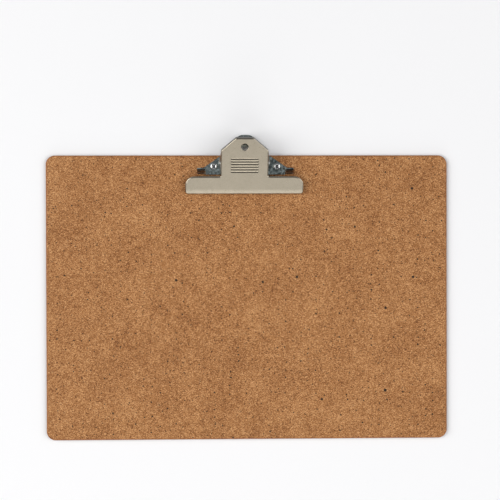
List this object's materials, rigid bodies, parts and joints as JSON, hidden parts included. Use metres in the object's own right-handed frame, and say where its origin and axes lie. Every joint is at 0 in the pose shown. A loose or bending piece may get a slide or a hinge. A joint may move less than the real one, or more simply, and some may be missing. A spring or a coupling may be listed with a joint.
{
  "type": "clipboard",
  "caption": "Landscape hardboard clipboard with a sprung metal lever clip that opens on a pivot, paper stops and a hang hole.",
  "frame": {"origin": "centre of the panel's back face", "axes": "+X along the panel's long side, +Y towards the edge with the clip, +Z out of the writing surface"},
  "size_m": [0.445, 0.3377, 0.0311],
  "materials": {
    "hardboard": "smooth brown hardboard with mottled fibres and dark flecks",
    "satin_nickel_steel": "satin nickel plating, warm grey",
    "zinc_plated_steel": "zinc plating, cool grey and slightly mottled",
    "bright_steel": "bright nickel plating",
    "spring_steel": "drawn wire, lightly oiled"
  },
  "bodies": {
    "board": {"hardboard_panel": "hardboard", "clip_base_plate": "zinc_plated_steel", "pivot_pin": "bright_steel", "torsion_spring": "spring_steel", "rivet_left": "bright_steel", "rivet_right": "bright_steel"},
    "lever": {"clip_lever": "satin_nickel_steel"}
  },
  "joints": [
    {"name": "lever_pivot", "type": "hinge", "parent": "board", "child": "lever", "pos_m": [0, 0.1495, 0.0125], "axis": [-1, 0, 0], "range_deg": [0, 26], "stiffness_Nm_per_rad": 1, "springref_deg": -51.57, "deforming": ["torsion_spring"]}
  ]
}
